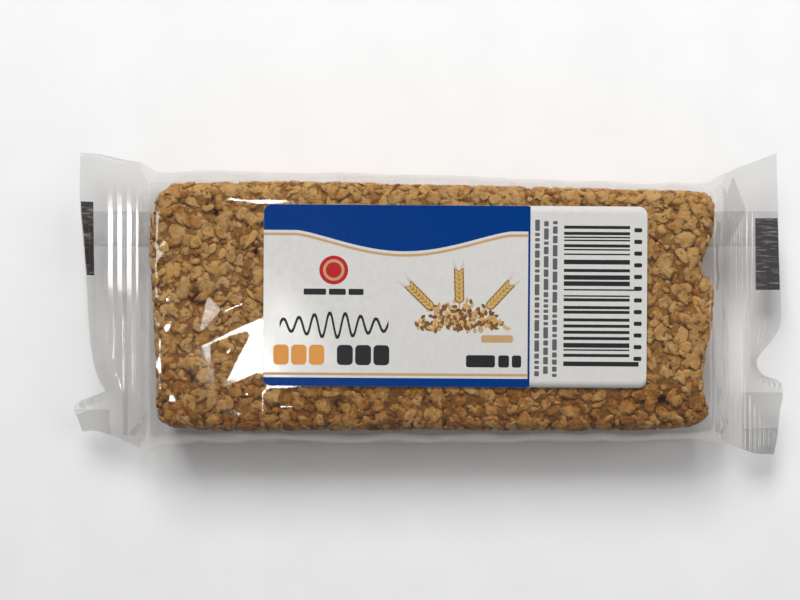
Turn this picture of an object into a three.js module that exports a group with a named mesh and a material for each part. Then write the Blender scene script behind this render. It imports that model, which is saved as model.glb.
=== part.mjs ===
// A baked oat bar sealed in a clear flow wrap, with a printed label stuck on its top.
// The wrapper is one closed solid out to the film's outer face. It is flat over and under
// the bar, bulges at the long sides, slopes down from the bar's ends to the two end seals,
// and each seal is a crimped fin that has buckled near one corner.
// Millimetres, +Z up. X runs along the bar, Y across it, and the pack lies on Z = 0.
import * as THREE from "three";

// The film where it is stretched over the bar
const BAR_END = 60; // from the middle to each end of the bar
const PACK_HEIGHT = 17;
const TOP_EDGE_BACK = [[-60, 25.3], [0, 24.6], [60, 23.4]]; // the bar tapers a little to the right
const TOP_EDGE_FRONT = [[-60, -26], [60, -26]];
const SIDE_CREASE_HEIGHT = 8; // where the side panels bulge furthest out

// The two long edges of the flattened film, seen from above
const BACK_EDGE = [
  [-78, 33.3], [-74, 33.1], [-68, 31.8], [-63.5, 31.1], [-60, 28.6], [-50, 29.2],
  [0, 28.2], [59, 26.6], [66, 29.3], [72, 31.4], [78, 33.6],
];
const FRONT_EDGE = [
  [-78, -28.6], [-74, -28.3], [-69, -29.8], [-62.4, -32.6], [-58.5, -31.1],
  [0, -31], [60, -30.5], [67, -31.6], [72, -33.2], [78, -33.6],
];

// The end seals. Each fin starts at its seal line, and bends up or down from there.
const SEAL_HEIGHT = 8;
const SEAL_THICKNESS = 0.6;
const CRIMP_RIDGES = 6;
const CRIMP_DEPTH = 0.2;
const BEND_RUN = 4; // the length of film that a fin's bend is spread over
const LEFT_SEAL = {
  way: -1,
  line: 67.5, // from the middle of the pack to the seal line
  length: [[-30, 9.2], [-27, 10.6], [-23, 11], [-19, 9.8], [0, 10], [33.6, 9.8]], // by Y
  bend: [[-33.6, -20], [-26, -16], [-20.5, -4], [-18, 66], [-15, 70], [-8, 55],
    [0, 46], [10, 34], [18, 14], [24, 4], [33.6, 0]], // degrees, by Y
};
const RIGHT_SEAL = {
  way: 1,
  line: 68.5,
  length: [[-33.6, 8], [-20, 9.6], [-12, 8.6], [0, 8.6], [33.6, 8]],
  bend: [[-33.6, -14], [-24, -10], [-18.5, -2], [-16, 66], [-12, 68], [-8, 52],
    [-3, 20], [5, 4], [33.6, -3]],
};

// The label
const LABEL_LENGTH = 82;
const LABEL_WIDTH = 38.8;
const LABEL_THICKNESS = 0.2;
const LABEL_CORNER = 1.8;
const LABEL_AT = [5.1, 1.6];
const LABEL_TURN = THREE.MathUtils.degToRad(-0.4);

// How finely each stretch is divided
const BODY_STATIONS = [-59, -54, -46, -30, -10, 10, 30, 46, 54, 59];
const SHOULDER_STEPS = 5;
const SIDE_STEPS = 4;
const TOP_STEPS = 30;
const BEND_STEP = 0.25;

const FILM_COLOUR = 0x9a7748; // brown, as the bar shows through the film
const LABEL_COLOUR = 0xe9e9e6;

/** A smooth function through [at, value] points, as cubic pieces that share their slopes. */
function smoothThrough(points) {
  const last = points.length - 1;
  const slope = (i) => {
    const [a, b] = [points[Math.max(i - 1, 0)], points[Math.min(i + 1, last)]];
    return (b[1] - a[1]) / (b[0] - a[0]);
  };
  return (at) => {
    const x = THREE.MathUtils.clamp(at, points[0][0], points[last][0]);
    const i = Math.min(points.findLastIndex((p) => p[0] <= x), last - 1);
    const [[x0, y0], [x1, y1]] = [points[i], points[i + 1]];
    const run = x1 - x0;
    const t = (x - x0) / run;
    const s = t * t * (3 - 2 * t);
    const ends = slope(i) * t * (1 - t) ** 2 - slope(i + 1) * t * t * (1 - t);
    return y0 + (y1 - y0) * s + run * ends;
  };
}

const backEdge = smoothThrough(BACK_EDGE);
const frontEdge = smoothThrough(FRONT_EDGE);
const topEdgeBack = smoothThrough(TOP_EDGE_BACK);
const topEdgeFront = smoothThrough(TOP_EDGE_FRONT);

/** The places across the pack at x: each has its Y, and how far up the side panel it lies. */
function placesAcross(x) {
  const places = [];
  const side = (crease, edge, step) => {
    const turn = (step / SIDE_STEPS) * (Math.PI / 2);
    places.push({ y: edge + (crease - edge) * Math.cos(turn), rise: Math.sin(turn) ** 0.8 });
  };
  for (let i = 0; i <= SIDE_STEPS; i++) side(backEdge(x), topEdgeBack(x), i);
  for (let i = 1; i < TOP_STEPS; i++) {
    const y = THREE.MathUtils.lerp(topEdgeBack(x), topEdgeFront(x), i / TOP_STEPS);
    places.push({ y, rise: 1 });
  }
  for (let i = SIDE_STEPS; i >= 0; i--) side(frontEdge(x), topEdgeFront(x), i);
  return places;
}

/** One row across the pack: the film's top and underside at x, between these two heights. */
function bodyRow(x, top, bottom) {
  const half = SEAL_THICKNESS / 2;
  return placesAcross(x).map(({ y, rise }) => ({
    top: new THREE.Vector3(
      x, y, THREE.MathUtils.lerp(SIDE_CREASE_HEIGHT + half, top, rise)),
    bottom: new THREE.Vector3(
      x, y, THREE.MathUtils.lerp(SIDE_CREASE_HEIGHT - half, bottom, rise)),
  }));
}

/** The slope from the bar's end to the seal line, as rows from the bar outwards. */
function shoulderRows(seal) {
  const rows = [];
  for (let i = 0; i < SHOULDER_STEPS; i++) {
    const t = i / SHOULDER_STEPS;
    const fall = THREE.MathUtils.lerp(t, THREE.MathUtils.smoothstep(t, 0, 1), 0.5);
    const x = seal.way * THREE.MathUtils.lerp(BAR_END, seal.line, t);
    const half = SEAL_THICKNESS / 2;
    const top = THREE.MathUtils.lerp(PACK_HEIGHT, SEAL_HEIGHT + half, fall);
    rows.push(bodyRow(x, top, THREE.MathUtils.lerp(0, SEAL_HEIGHT - half, fall)));
  }
  return rows;
}

/** The middle of the fin's thickness, a share of the way from its seal line to its cut edge. */
function finMiddle(seal, share, y) {
  const length = share * smoothThrough(seal.length)(y);
  const bend = THREE.MathUtils.degToRad(smoothThrough(seal.bend)(y));
  const point = new THREE.Vector3(seal.way * seal.line, y, SEAL_HEIGHT);
  const steps = Math.ceil(length / BEND_STEP);
  for (let i = 0; i < steps; i++) {
    const run = ((i + 0.5) * length) / steps;
    const angle = bend * THREE.MathUtils.smoothstep(run, 0, BEND_RUN);
    point.x += (seal.way * Math.cos(angle) * length) / steps;
    point.z += (Math.sin(angle) * length) / steps;
  }
  return point;
}

/** The crimped fin, as rows from the seal line to the cut edge. */
function finRows(seal) {
  const rows = [];
  const steps = CRIMP_RIDGES * 2;
  const reach = 0.05; // the neighbours that give the film's slope
  for (let i = 0; i <= steps; i++) {
    const share = i / steps;
    const ridge = i === 0 ? 0 : CRIMP_DEPTH * (i % 2 ? 1 : -1);
    const nominal = seal.way * (seal.line + share * smoothThrough(seal.length)(0));
    rows.push(placesAcross(nominal).map(({ y }) => {
      const middle = finMiddle(seal, share, y);
      const along = finMiddle(seal, share + reach, y).sub(middle).multiplyScalar(seal.way);
      const across = finMiddle(seal, share, y + reach).sub(middle);
      const out = along.cross(across).normalize();
      if (i === 0) out.set(0, 0, 1);
      return {
        top: middle.clone().addScaledVector(out, ridge + SEAL_THICKNESS / 2),
        bottom: middle.clone().addScaledVector(out, ridge - SEAL_THICKNESS / 2),
      };
    }));
  }
  return rows;
}

/** A closed solid from rows of top and bottom points, each row running the same way. */
function solidFromRows(rows) {
  const position = [];
  const face = (...corners) => corners.forEach((p) => position.push(p.x, p.y, p.z));
  const quad = (a, b, c, d) => {
    face(a, b, c);
    face(a, c, d);
  };
  const last = rows[0].length - 1;
  for (let i = 0; i + 1 < rows.length; i++) {
    const [here, next] = [rows[i], rows[i + 1]];
    for (let j = 0; j < last; j++) {
      quad(here[j].top, here[j + 1].top, next[j + 1].top, next[j].top);
      quad(here[j].bottom, next[j].bottom, next[j + 1].bottom, here[j + 1].bottom);
    }
    quad(here[0].top, next[0].top, next[0].bottom, here[0].bottom);
    quad(here[last].top, here[last].bottom, next[last].bottom, next[last].top);
  }
  const [first, end] = [rows[0], rows[rows.length - 1]];
  for (let j = 0; j < last; j++) {
    quad(first[j].top, first[j].bottom, first[j + 1].bottom, first[j + 1].top);
    quad(end[j].top, end[j + 1].top, end[j + 1].bottom, end[j].bottom);
  }
  const geometry = new THREE.BufferGeometry();
  geometry.setAttribute("position", new THREE.Float32BufferAttribute(position, 3));
  return geometry;
}

/** The sealed pack, from the left fin's cut edge to the right one's. */
function makeWrapper() {
  const body = BODY_STATIONS.map((x) => bodyRow(x, PACK_HEIGHT, 0));
  const rows = [
    ...finRows(LEFT_SEAL).reverse(),
    ...shoulderRows(LEFT_SEAL).reverse(),
    ...body,
    ...shoulderRows(RIGHT_SEAL),
    ...finRows(RIGHT_SEAL),
  ];
  const material = new THREE.MeshStandardMaterial({ color: FILM_COLOUR, roughness: 0.25 });
  const wrapper = new THREE.Mesh(solidFromRows(rows), material);
  wrapper.name = "wrapper";
  return wrapper;
}

/** The self-adhesive label, a flat sheet with round corners. */
function makeLabel() {
  const [x, y, r] = [LABEL_LENGTH / 2, LABEL_WIDTH / 2, LABEL_CORNER];
  const outline = new THREE.Shape();
  outline.absarc(x - r, y - r, r, 0, Math.PI / 2);
  outline.absarc(r - x, y - r, r, Math.PI / 2, Math.PI);
  outline.absarc(r - x, r - y, r, Math.PI, Math.PI * 1.5);
  outline.absarc(x - r, r - y, r, Math.PI * 1.5, Math.PI * 2);
  const geometry = new THREE.ExtrudeGeometry(outline, {
    depth: LABEL_THICKNESS,
    bevelEnabled: false,
    curveSegments: 6,
  });
  const material = new THREE.MeshStandardMaterial({ color: LABEL_COLOUR, roughness: 0.35 });
  const label = new THREE.Mesh(geometry, material);
  label.name = "label";
  label.position.set(...LABEL_AT, PACK_HEIGHT);
  label.rotation.z = LABEL_TURN;
  return label;
}

const pack = new THREE.Group();
pack.add(makeWrapper(), makeLabel());

// The origin goes under the middle of the pack's box
const box = new THREE.Box3().setFromObject(pack);
const middle = box.getCenter(new THREE.Vector3());
pack.position.set(-middle.x, -middle.y, 0);

export default pack;
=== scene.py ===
"""A baked oat bar sealed in a clear flow wrap, with a printed label stuck on its top.

The frame has +X along the bar, +Y across it towards the label's upper edge, and +Z up.
Sizes are written in millimetres and turned into metres as each mesh is made.
"""
import math

import bpy
import numpy as np
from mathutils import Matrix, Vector, noise
from mathutils.bvhtree import BVHTree


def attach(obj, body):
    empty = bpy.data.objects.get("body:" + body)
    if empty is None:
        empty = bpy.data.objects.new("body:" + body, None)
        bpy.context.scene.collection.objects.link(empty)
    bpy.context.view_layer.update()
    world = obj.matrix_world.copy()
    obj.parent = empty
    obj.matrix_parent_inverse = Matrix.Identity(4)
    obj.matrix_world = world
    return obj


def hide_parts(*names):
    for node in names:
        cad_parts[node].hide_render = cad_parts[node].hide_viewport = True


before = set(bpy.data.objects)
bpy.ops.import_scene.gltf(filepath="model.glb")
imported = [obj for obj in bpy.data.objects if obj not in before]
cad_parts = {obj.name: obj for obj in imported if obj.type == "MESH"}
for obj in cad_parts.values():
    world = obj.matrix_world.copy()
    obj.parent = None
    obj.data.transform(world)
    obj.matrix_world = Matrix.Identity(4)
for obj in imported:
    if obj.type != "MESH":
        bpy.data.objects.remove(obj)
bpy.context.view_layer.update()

# The baked slab.
# Rolled oats, syrup and fat are pressed into a tray, baked and sawn into slabs. Each slab keeps
# a flat pressed top and underside, crumbly sides, rounded corners and a few deep pits.
MM = 0.001  # a millimetre, in metres
SLAB_HALF = (60, 26.5, 8.1)  # half its length, width and height, before its edges wander
SLAB_MIDDLE_HEIGHT = 8.6
SLAB_EDGE_ROUNDING = 3.4
LEFT_END = [  # where the ends lie, by Y
    [-27, -57.6], [-24, -58.9], [-17, -59.1], [0, -59.8], [12, -60.6], [20, -60.2], [26, -57.6],
]
RIGHT_END = [
    [-27, 58.2], [-23.8, 59.9], [-17.7, 58.7], [-9.9, 59.5], [-4.3, 60.7],
    [4.1, 60.8], [9.1, 58.4], [13.4, 60.2], [20, 61.4], [25, 60.8],
]
BACK_SIDE = [  # where the sides lie, by X
    [-60, 25.9], [-45, 26.2], [-30, 26.4], [0, 25.6], [30, 25.0], [60, 24.2],
]
FRONT_SIDE = [
    [-60, -26.6], [-40, -27.2], [0, -27], [30, -27.2], [50, -26.8], [60, -26.0],
]
PITS = [  # where a pit opens in the top, and how wide it is
    (-50.5, 1, 1.6), (-46, 20, 1.0), (50, -20.5, 1.7), (-38, 11, 1.1), (-52, -16, 1.0),
    (-33, -22, 1.1), (48, 13, 1.0), (55, 22, 0.9), (-20, -21.5, 0.9), (20, -24, 0.9), (57, 3, 0.9),
]
PIT_DEPTH = 2.6
CORE_CELL = 0.62
CORE_DEPTH = 0.5  # how far the solid crumb lies below the flakes that cover it
LEAST_CORE_DEPTH = 0.15
CORE_UNEVENNESS = 0.6
CORE_LUMPS = (0.6, 2.2, 4)  # the roughness, spacing and number of the noise's octaves
CORE_BASE = 0.7
CORE_TONE = 0.55
CORE_SYRUP_AND_SHADE = (0.6, 0.9)  # the depth where syrup and painted shade start to darken the crumb, and the most they do
FRONT_SHADE_AMOUNT = 0.42  # how much darker painted shade makes the front side
FRONT_SHADE_FROM = -12  # the Y where painted shade starts on the front side, and how far on it is at its darkest
FRONT_SHADE_RUN = 11
CRUMB_STOPS = [  # the crumb's colours, from its darkest tone to its lightest
    (0.0, (0.21, 0.088, 0.018)), (0.35, (0.33, 0.152, 0.036)), (0.7, (0.43, 0.218, 0.06)),
    (1.0, (0.5, 0.28, 0.092)),
]
GOLDEN_TINT = (1.0, 0.8, 0.55, 1)
SYRUP_AND_SHADE_TINT = (0.72, 0.52, 0.32, 1)


def smooth_through(points):
    """A smooth function through [at, value] points, as cubic pieces that share their slopes."""
    at, value = np.array(points, float).T
    slope = np.empty_like(value)
    slope[1:-1] = (value[2:] - value[:-2]) / (at[2:] - at[:-2])
    slope[0] = (value[1] - value[0]) / (at[1] - at[0])
    slope[-1] = (value[-1] - value[-2]) / (at[-1] - at[-2])

    def read(x):
        x = np.clip(x, at[0], at[-1])
        i = np.clip(np.searchsorted(at, x, side="right") - 1, 0, len(at) - 2)
        run = at[i + 1] - at[i]
        t = (x - at[i]) / run
        ease = t * t * (3 - 2 * t)
        ends = slope[i] * t * (1 - t) ** 2 - slope[i + 1] * t * t * (1 - t)
        return value[i] + (value[i + 1] - value[i]) * ease + run * ends

    return read


def smoothstep(t):
    """Eases from 0 to 1 as t does."""
    t = np.clip(t, 0, 1)
    return t * t * (3 - 2 * t)


def front_painted_shade(y):
    """Painted shade that darkens the slab's colour towards its front side."""
    return FRONT_SHADE_AMOUNT * smoothstep((FRONT_SHADE_FROM - y) / FRONT_SHADE_RUN)


left_end = smooth_through(LEFT_END)
right_end = smooth_through(RIGHT_END)
back_side = smooth_through(BACK_SIDE)
front_side = smooth_through(FRONT_SIDE)


def on_slab(points):
    """Points of the plain box on the slab's own rounded outline, and their ways out of it."""
    half = np.array(SLAB_HALF, float)
    inner = np.clip(points, -(half - SLAB_EDGE_ROUNDING), half - SLAB_EDGE_ROUNDING)
    out = points - inner
    out = out / np.linalg.norm(out, axis=1, keepdims=True)
    placed = inner + out * SLAB_EDGE_ROUNDING
    x, y = placed[:, 0], placed[:, 1]
    along, across = (x / half[0] + 1) / 2, (y / half[1] + 1) / 2
    left, right = left_end(y), right_end(y)
    front, back = front_side(x), back_side(x)
    moved = np.stack([
        left + (right - left) * along,
        front + (back - front) * across,
        placed[:, 2] + SLAB_MIDDLE_HEIGHT,
    ], axis=1)
    return moved, out


def box_faces(half, cell):
    """A closed box of square cells: its points, and its faces as rows of four."""
    points, quads = [], []
    for axis in range(3):
        u, v = (axis + 1) % 3, (axis + 2) % 3
        nu, nv = (max(2, round(2 * half[k] / cell)) for k in (u, v))
        for way in (-1, 1):
            grid = np.zeros((nu + 1, nv + 1, 3))
            grid[..., u] = np.linspace(-half[u], half[u], nu + 1)[:, None]
            grid[..., v] = np.linspace(-half[v], half[v], nv + 1)[None, :]
            grid[..., axis] = way * half[axis]
            number = np.arange((nu + 1) * (nv + 1)).reshape(nu + 1, nv + 1)
            number += sum(len(p) for p in points)
            a, b = number[:-1, :-1].ravel(), number[1:, :-1].ravel()
            c, d = number[1:, 1:].ravel(), number[:-1, 1:].ravel()
            quads.append(np.stack([a, b, c, d] if way > 0 else [a, d, c, b], axis=1))
            points.append(grid.reshape(-1, 3))
    points, quads = np.concatenate(points), np.concatenate(quads)
    _, first, same = np.unique(
        np.round(points, 5), axis=0, return_index=True, return_inverse=True)
    return points[first], same.reshape(-1)[quads]


def make_piece(name, points, faces, smooth=True):
    """A mesh object from points in millimetres, riding on the pack."""
    mesh = bpy.data.meshes.new(name)
    mesh.from_pydata((np.asarray(points) * MM).tolist(), [], [list(map(int, f)) for f in faces])
    mesh.validate()
    mesh.polygons.foreach_set("use_smooth", [smooth] * len(mesh.polygons))
    mesh.update()
    piece = bpy.data.objects.new(name, mesh)
    bpy.context.scene.collection.objects.link(piece)
    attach(piece, "root")
    return piece


def give_values(piece, name, values):
    """A number for each point of the piece, which its material reads by name."""
    attribute = piece.data.attributes.new(name, "FLOAT", "POINT")
    attribute.data.foreach_set("value", np.asarray(values, np.float32))


def new_material(name):
    """An empty node material, and a function that adds a node to it.

    The function takes a node's inputs by name, or by number as _0, _1 and so on.
    """
    material = bpy.data.materials.new(name)
    material.use_nodes = True
    tree = material.node_tree
    tree.nodes.clear()

    def add(kind, settings=None, **inputs):
        node = tree.nodes.new("ShaderNode" + kind)
        for key, value in (settings or {}).items():
            setattr(node, key, value)
        for key, value in inputs.items():
            socket = node.inputs[int(key[1:]) if key[1:].isdigit() else key.replace("_", " ")]
            if isinstance(value, bpy.types.NodeSocket):
                tree.links.new(value, socket)
            else:
                socket.default_value = value
        return node

    return material, add


def speckle(add, place, scale, detail=2.0, roughness=0.5):
    """Cloudy noise over the piece, with this many clouds to a metre."""
    node = add("TexNoise", Vector=place, Scale=scale, Detail=detail, Roughness=roughness)
    return node.outputs["Fac"]


def spread(add, value, before, after):
    """The value, with its range before stretched to the range after."""
    node = add("MapRange", Value=value, _1=before[0], _2=before[1], _3=after[0], _4=after[1])
    return node.outputs["Result"]


def colour_ramp(add, factor, stops):
    """A colour ramp through these (place, colour) stops."""
    ramp = add("ValToRGB", Fac=factor)
    elements = ramp.color_ramp.elements
    while len(elements) < len(stops):
        elements.new(0.5)
    for element, (place, colour) in zip(elements, stops):
        element.position = place
        element.color = (*colour, 1)
    return ramp.outputs["Color"]


def pit_depth(points):
    """How much deeper the crumb lies at these places, because a pit opens there."""
    deeper = np.zeros(len(points))
    top = points[:, 2] > SLAB_MIDDLE_HEIGHT
    for x, y, width in PITS:
        away = np.hypot(points[:, 0] - x, points[:, 1] - y) / width
        deeper += np.where(top, PIT_DEPTH * np.exp(-away ** 2), 0)
    return deeper


def make_oat_material(name, stops):
    """Baked oats: tan to dark brown by piece, mottled, darkened down in the gaps by sticky syrup
    and painted shade.
    """
    material, add = new_material(name)
    place = add("TexCoord").outputs["Object"]
    tone = add("Attribute", {"attribute_name": "tone"}).outputs["Fac"]
    sunk = add("Attribute", {"attribute_name": "sunk"}).outputs["Fac"]
    toast = speckle(add, place, 620.0, 6.0, 0.7)
    mottled = add("Math", {"operation": "MULTIPLY_ADD"}, _0=toast, _1=2.3, _2=-1.15).outputs[0]
    shade = add("Math", {"operation": "ADD", "use_clamp": True}, _0=tone, _1=mottled).outputs[0]
    colour = colour_ramp(add, shade, stops)
    golden = spread(add, speckle(add, place, 170.0), (0.5, 0.72), (0.0, 0.45))
    tinting = {"data_type": "RGBA", "blend_type": "MULTIPLY"}
    warm = add("Mix", tinting, _0=golden, _6=colour, _7=GOLDEN_TINT).outputs[2]
    # Syrup and painted shade darken the colour where the surface lies sunk
    dark = add("Mix", tinting, _0=sunk, _6=warm, _7=SYRUP_AND_SHADE_TINT).outputs[2]
    fine = speckle(add, place, 900.0, 6.0, 0.7)
    bump = add("Bump", Strength=1.0, Distance=0.0009, Height=fine).outputs["Normal"]
    rough = spread(add, speckle(add, place, 330.0), (0.35, 0.7), (0.42, 0.75))
    skin = add(
        "BsdfPrincipled", Base_Color=dark, Roughness=rough, Normal=bump, Specular_IOR_Level=0.35,
        Subsurface_Weight=0.35, Subsurface_Radius=(1.0, 0.85, 0.7), Subsurface_Scale=0.0009)
    add("OutputMaterial", Surface=skin.outputs[0])
    return material


plain, quads = box_faces(SLAB_HALF, CORE_CELL)
surface, outward = on_slab(plain)
lumpy = np.array([noise.fractal(Vector(p) * 0.5, *CORE_LUMPS) for p in surface])
depth = np.maximum(CORE_DEPTH + CORE_UNEVENNESS * lumpy, LEAST_CORE_DEPTH) + pit_depth(surface)
core = surface - outward * depth[:, None]
core[:, 2] = np.clip(core[:, 2], CORE_BASE, None)
oat_core = make_piece("oat_core", core, quads)
# Painted shade lowers the crumb's tone towards the front side
core_tone = CORE_TONE + CORE_UNEVENNESS * lumpy - front_painted_shade(core[:, 1])
give_values(oat_core, "tone", np.clip(core_tone, 0, 1))
# Pits and deep crumb are darkened by syrup and painted shade
give_values(oat_core, "sunk", np.clip((depth - CORE_SYRUP_AND_SHADE[0]) / PIT_DEPTH, 0, CORE_SYRUP_AND_SHADE[1]))
oat_core.data.materials.append(make_oat_material("baked_crumb", CRUMB_STOPS))

# The oats that cover the slab.
# Rolled oats, oat lumps and broken bits lie tightly packed in browned syrup. The tray and the
# press have flattened those on the top and underside, and the saw has torn those at the sides.
OAT_SEED = 41
SIDE_SLACK = 0.5  # how far an oat may stand out past the slab's sides
PRESS_SOFTNESS = 0.5
ROW_GAP = 0.87  # between rows of oats, as a share of the gap along a row
STRAY = 0.36  # how far an oat strays from its row, as a share of that gap
OPEN_PIT = 1.2  # no oat covers a pit where it is deeper than this
BEDDING = 0.55  # an oat lies this share of its half thickness deeper than its place
SYRUP_AND_SHADE_FROM = 0.25  # the depth where syrup and painted shade start to darken an oat, and how far on it is darkest
SYRUP_AND_SHADE_RUN = 1.15
OAT_STOPS = [  # the oats' colours, from their darkest tone to their lightest
    (0.0, (0.31, 0.118, 0.02)), (0.2, (0.44, 0.2, 0.045)), (0.45, (0.55, 0.28, 0.08)),
    (0.7, (0.62, 0.355, 0.127)), (0.92, (0.68, 0.435, 0.185)), (1.0, (0.74, 0.395, 0.11)),
]
FLAKE_RINGS = [(0.5, 0.8), (0.85, 0.62), (1.0, 0.0), (0.85, -0.62), (0.5, -0.8)]  # reach, rise
FLAKE_CROWN = 0.75


def ring_faces(rings, around):
    """Triangles over a closed form of this many rings of points, with one point at each end."""
    faces = [(0, 1 + j, 1 + (j + 1) % around) for j in range(around)]
    for i in range(rings - 1):
        low, high = 1 + i * around, 1 + (i + 1) * around
        for j in range(around):
            faces.append((low + j, high + j, high + (j + 1) % around))
            faces.append((low + j, high + (j + 1) % around, low + (j + 1) % around))
    last = 1 + rings * around
    low = last - around
    faces += [(last, low + (j + 1) % around, low + j) for j in range(around)]
    return faces


def pebble(around, rings, rough, draw):
    """A closed lumpy ball of unit size: its points and faces."""
    points = [(0, 0, 1)]
    for i in range(1, rings):
        tilt = math.pi * i / rings
        for j in range(around):
            turn = math.tau * (j + 0.5 * (i % 2)) / around
            reach = math.sin(tilt)
            points.append((reach * math.cos(turn), reach * math.sin(turn), math.cos(tilt)))
    points.append((0, 0, -1))
    points = np.array(points, float)
    shift = Vector(draw.uniform(-50, 50, 3))
    swell = np.array([
        noise.noise(Vector(p) * 1.3 + shift) + 0.5 * noise.noise(Vector(p) * 3.1 - shift)
        for p in points])
    return points * (1 + rough * swell)[:, None], ring_faces(rings - 1, around)


def rolled_oat(around, draw):
    """A closed flat oval flake with a crease along it, of unit size: its points and faces."""
    points = [(0, 0, FLAKE_CROWN)]
    for reach, rise in FLAKE_RINGS:
        for j in range(around):
            turn = math.tau * j / around
            points.append((reach * math.cos(turn), reach * math.sin(turn), rise))
    points.append((0, 0, -FLAKE_CROWN))
    points = np.array(points, float)
    shift = Vector(draw.uniform(-50, 50, 3))
    edge = np.array([noise.noise(Vector(p) * 1.1 + shift) for p in points])
    points[:, :2] *= (1 + 0.45 * edge)[:, None]
    points[:, 2] -= 0.5 * np.exp(-(points[:, 1] / 0.16) ** 2) * (np.abs(points[:, 0]) < 0.8)
    points[:, 2] += draw.uniform(-0.7, 0.7) * points[:, 0] ** 2 + 0.5 * edge
    return points, ring_faces(len(FLAKE_RINGS), around)


def spread_over_slab(gap, draw):
    """Places over all six sides of the slab, about this far apart, off a strict pattern."""
    half = np.array(SLAB_HALF)
    found = []
    for axis in range(3):
        u, v = (axis + 1) % 3, (axis + 2) % 3
        rows = max(1, round(2 * half[v] / (gap * ROW_GAP)))
        columns = max(1, round(2 * half[u] / gap))
        for way in (-1, 1):
            for i in range(rows):
                for j in range(columns):
                    point = np.zeros(3)
                    point[u] = ((j + 0.5 + 0.5 * (i % 2)) / (columns + 0.5) * 2 - 1) * half[u]
                    point[v] = ((i + 0.5) / rows * 2 - 1) * half[v]
                    point[[u, v]] += draw.uniform(-STRAY, STRAY, 2) * gap
                    point[axis] = way * half[axis]
                    found.append(np.clip(point, -half, half))
    return np.array(found)


def press(points):
    """Flattens what stands out past the slab's own outline and rounded edges, softly."""
    x, y = points[:, 0], points[:, 1]
    left, right, front, back = left_end(y), right_end(y), front_side(x), back_side(x)
    half = np.array(SLAB_HALF, float)
    plain = np.stack([
        (2 * (x - left) / (right - left) - 1) * half[0],
        (2 * (y - front) / (back - front) - 1) * half[1],
        points[:, 2] - SLAB_MIDDLE_HEIGHT,
    ], axis=1)
    limit = half + [SIDE_SLACK, SIDE_SLACK, 0] - SLAB_EDGE_ROUNDING
    inner = np.clip(plain, -limit, limit)
    far = np.maximum(np.linalg.norm(plain - inner, axis=1), 1e-6)
    over = far - SLAB_EDGE_ROUNDING + PRESS_SOFTNESS
    held = SLAB_EDGE_ROUNDING - PRESS_SOFTNESS * np.exp(-np.clip(over, 0, None) / PRESS_SOFTNESS)
    pressed = inner + (plain - inner) * (np.where(over > 0, held, far) / far)[:, None]
    return np.stack([
        left + (right - left) * (pressed[:, 0] / half[0] + 1) / 2,
        front + (back - front) * (pressed[:, 1] / half[1] + 1) / 2,
        pressed[:, 2] + SLAB_MIDDLE_HEIGHT,
    ], axis=1)


def scatter_oats(name, shapes, gap, sizes, sink, lean, tones):
    """One piece of many oats: each a shape of this kind, turned, sunk and pressed on the slab."""
    spots, outs = on_slab(spread_over_slab(gap, draw))
    all_points, all_faces, tone, sunk = [], [], [], []
    count = 0
    for spot, out, pit in zip(spots, outs, pit_depth(spots)):
        template, faces = shapes[draw.integers(len(shapes))]
        size = np.array([draw.uniform(*s) for s in sizes])
        size *= draw.uniform(0.85, 1.15)
        up = out + draw.uniform(-lean, lean, 3)
        up /= np.linalg.norm(up)
        along = np.cross(up, draw.normal(size=3))
        along /= np.linalg.norm(along)
        across = np.cross(up, along)
        depth = draw.uniform(*sink)
        # Painted shade lowers each oat's tone towards the front side
        shade = draw.normal(*tones) - front_painted_shade(spot[1])
        if pit > OPEN_PIT:
            continue
        middle = spot - out * (depth + size[2] * BEDDING + 0.7 * pit)
        points = middle + (template * size) @ np.stack([along, across, up])
        base = (points - spot) @ out
        all_points.append(press(points))
        all_faces += [(a + count, b + count, c + count) for a, b, c in faces]
        count += len(points)
        tone.append(np.full(len(points), np.clip(shade, 0, 1)))
        # Syrup and painted shade darken each oat's lower side and rim
        sunk.append(np.clip((-base - SYRUP_AND_SHADE_FROM) / SYRUP_AND_SHADE_RUN, 0, 1))
    piece = make_piece(name, np.concatenate(all_points), all_faces)
    give_values(piece, "tone", np.concatenate(tone))
    give_values(piece, "sunk", np.concatenate(sunk))
    piece.data.materials.append(oat_skin)


draw = np.random.default_rng(OAT_SEED)
oat_skin = make_oat_material("baked_oat_skin", OAT_STOPS)
lump_shapes = [pebble(10, 7, 0.75, draw) for _ in range(24)]
flake_shapes = [rolled_oat(10, draw) for _ in range(24)]
bit_shapes = [pebble(6, 4, 0.9, draw) for _ in range(16)]
scatter_oats(
    "oat_lumps", lump_shapes, gap=3.7, sizes=((1.3, 2.3), (1.0, 1.8), (0.8, 1.2)),
    sink=(-0.2, 0.7), lean=0.5, tones=(0.62, 0.22))
scatter_oats(
    "rolled_oats", flake_shapes, gap=3.8, sizes=((1.5, 2.4), (1.0, 1.6), (0.35, 0.6)),
    sink=(-0.3, 0.45), lean=0.6, tones=(0.74, 0.18))
scatter_oats(
    "oat_bits", bit_shapes, gap=2.0, sizes=((0.5, 1.3), (0.4, 0.9), (0.35, 0.7)),
    sink=(-0.3, 0.8), lean=0.9, tones=(0.5, 0.26))

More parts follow.
